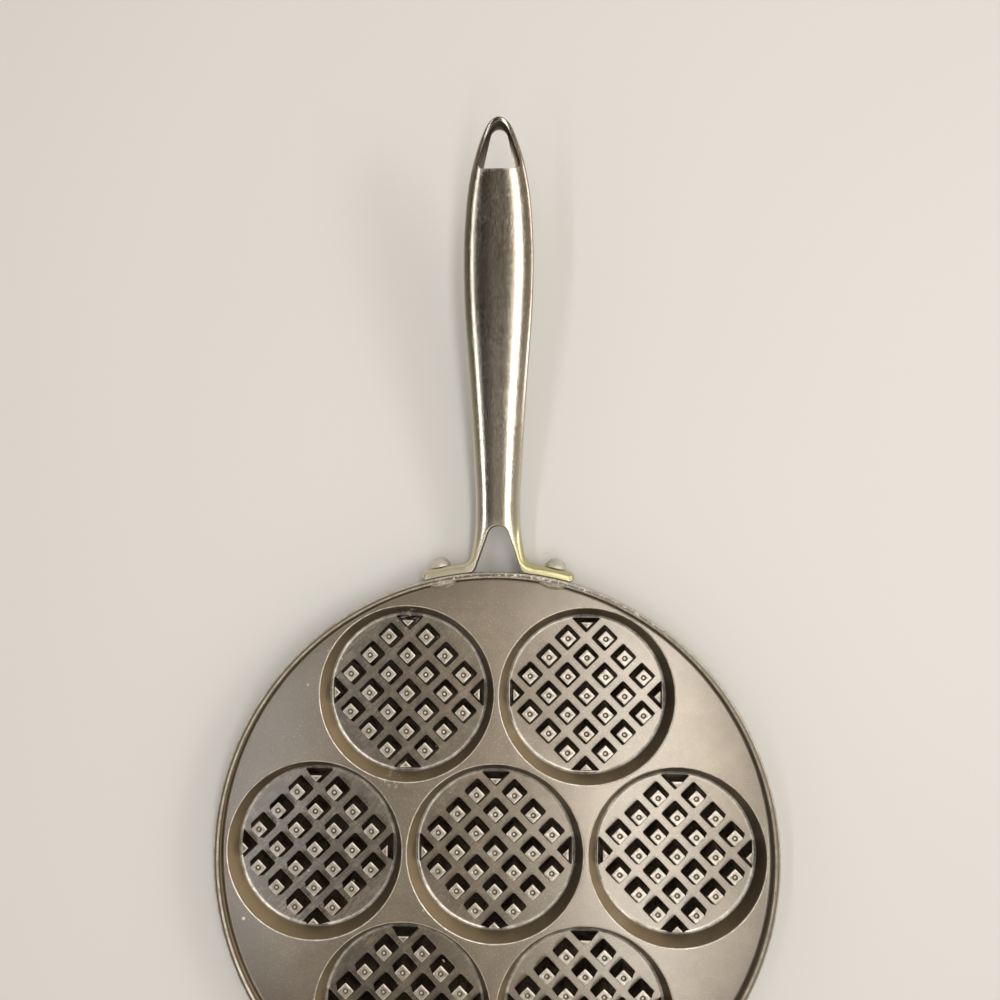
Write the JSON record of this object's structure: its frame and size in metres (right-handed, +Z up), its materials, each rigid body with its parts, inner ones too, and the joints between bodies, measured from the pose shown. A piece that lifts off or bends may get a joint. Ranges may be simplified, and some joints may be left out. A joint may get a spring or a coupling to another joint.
{
  "type": "stovetop waffle iron",
  "caption": "Round cast griddle pan with a ring of studded waffle wells and a forked steel channel handle ending in a triangular hanging loop.",
  "frame": {"origin": "centre of the pan on the flat base that rests on the stove", "axes": "+Z up out of the wells, +Y from the pan's centre along the handle to its hanging loop, +X to the right seen from above"},
  "size_m": [0.266, 0.4704, 0.0567],
  "materials": {
    "pan": "bronze-grey non-stick coat on cast metal, satin with fine sparkle",
    "handle": "lengthwise brushed, slight heat tint at one foot",
    "rivet": "satin"
  },
  "bodies": {
    "root": {"pan": "pan", "handle": "handle", "rivet_left": "rivet", "rivet_right": "rivet"}
  },
  "joints": []
}
